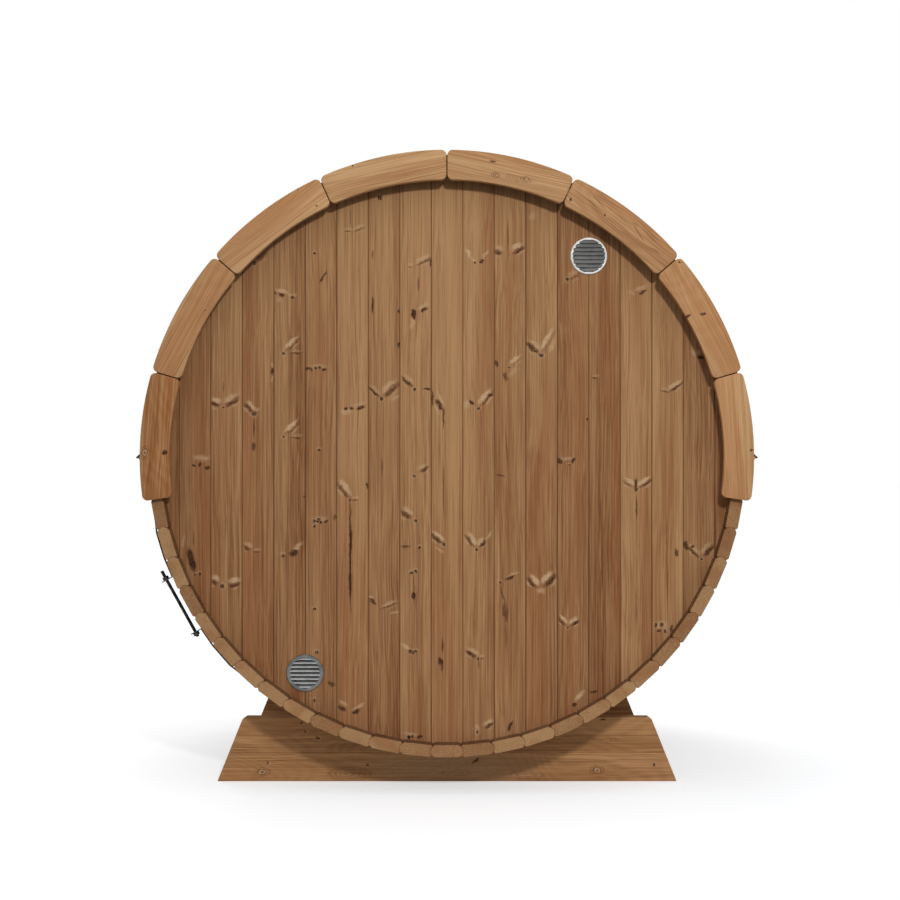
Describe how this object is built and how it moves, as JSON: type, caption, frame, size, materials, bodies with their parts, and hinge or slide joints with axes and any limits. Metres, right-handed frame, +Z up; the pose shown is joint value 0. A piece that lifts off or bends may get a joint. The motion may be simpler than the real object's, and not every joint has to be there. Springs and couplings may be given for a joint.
{
  "type": "barrel sauna",
  "caption": "Round barrel cabin of bead-and-cove timber staves with black roofing over its upper half, boarded end walls, arched fascia boards, louvred vents, steel bands and two cradles to stand on.",
  "frame": {"origin": "on the ground under the middle of the barrel", "axes": "+Z up, +Y along the barrel from the vented rear wall to the front wall with the door, +X to the right as seen from the rear"},
  "size_m": [2.0822, 1.856, 2.1578],
  "materials": {
    "stave_wood": "planed, heat-treated brown",
    "wall_wood": "planed, heat-treated brown with knots",
    "fascia_wood": "planed, lighter brown",
    "cradle_wood": "planed, edge-glued boards",
    "door_wood": "planed, heat-treated brown",
    "band_steel": "black strap",
    "black_steel": "blackened",
    "white_vent": "white",
    "dark_louvre": "dark grey",
    "grey_vent": "satin grey",
    "grey_louvre": "satin light grey",
    "roof_felt": "black bitumen roofing with fine mineral granules"
  },
  "bodies": {
    "root": {"staves_floor": "stave_wood", "staves_lower_right": "stave_wood", "staves_right_side": "stave_wood", "staves_upper_right": "stave_wood", "staves_roof": "stave_wood", "staves_upper_left": "stave_wood", "staves_left_side": "stave_wood", "staves_lower_left": "stave_wood", "rear_wall": "wall_wood", "front_wall_left": "wall_wood", "front_wall_right": "wall_wood", "front_wall_above_door": "wall_wood", "front_wall_below_door": "wall_wood", "upper_vent_ring": "white_vent", "upper_vent_louvres": "dark_louvre", "lower_vent_ring": "grey_vent", "lower_vent_louvres": "grey_louvre", "door_frame": "door_wood", "door_leaf": "door_wood", "door_hinges": "black_steel", "door_handle": "door_wood", "roofing": "roof_felt", "eave_battens": "fascia_wood", "rear_cradle": "cradle_wood", "front_cradle": "cradle_wood", "rear_band": "band_steel", "front_band": "band_steel", "rear_tensioner": "black_steel", "front_tensioner": "black_steel", "rear_fascia_1": "fascia_wood", "rear_fascia_2": "fascia_wood", "rear_fascia_3": "fascia_wood", "rear_fascia_4": "fascia_wood", "rear_fascia_5": "fascia_wood", "rear_fascia_6": "fascia_wood", "rear_fascia_7": "fascia_wood", "rear_fascia_8": "fascia_wood", "front_fascia_1": "fascia_wood", "front_fascia_2": "fascia_wood", "front_fascia_3": "fascia_wood", "front_fascia_4": "fascia_wood", "front_fascia_5": "fascia_wood", "front_fascia_6": "fascia_wood", "front_fascia_7": "fascia_wood", "front_fascia_8": "fascia_wood"}
  },
  "joints": []
}
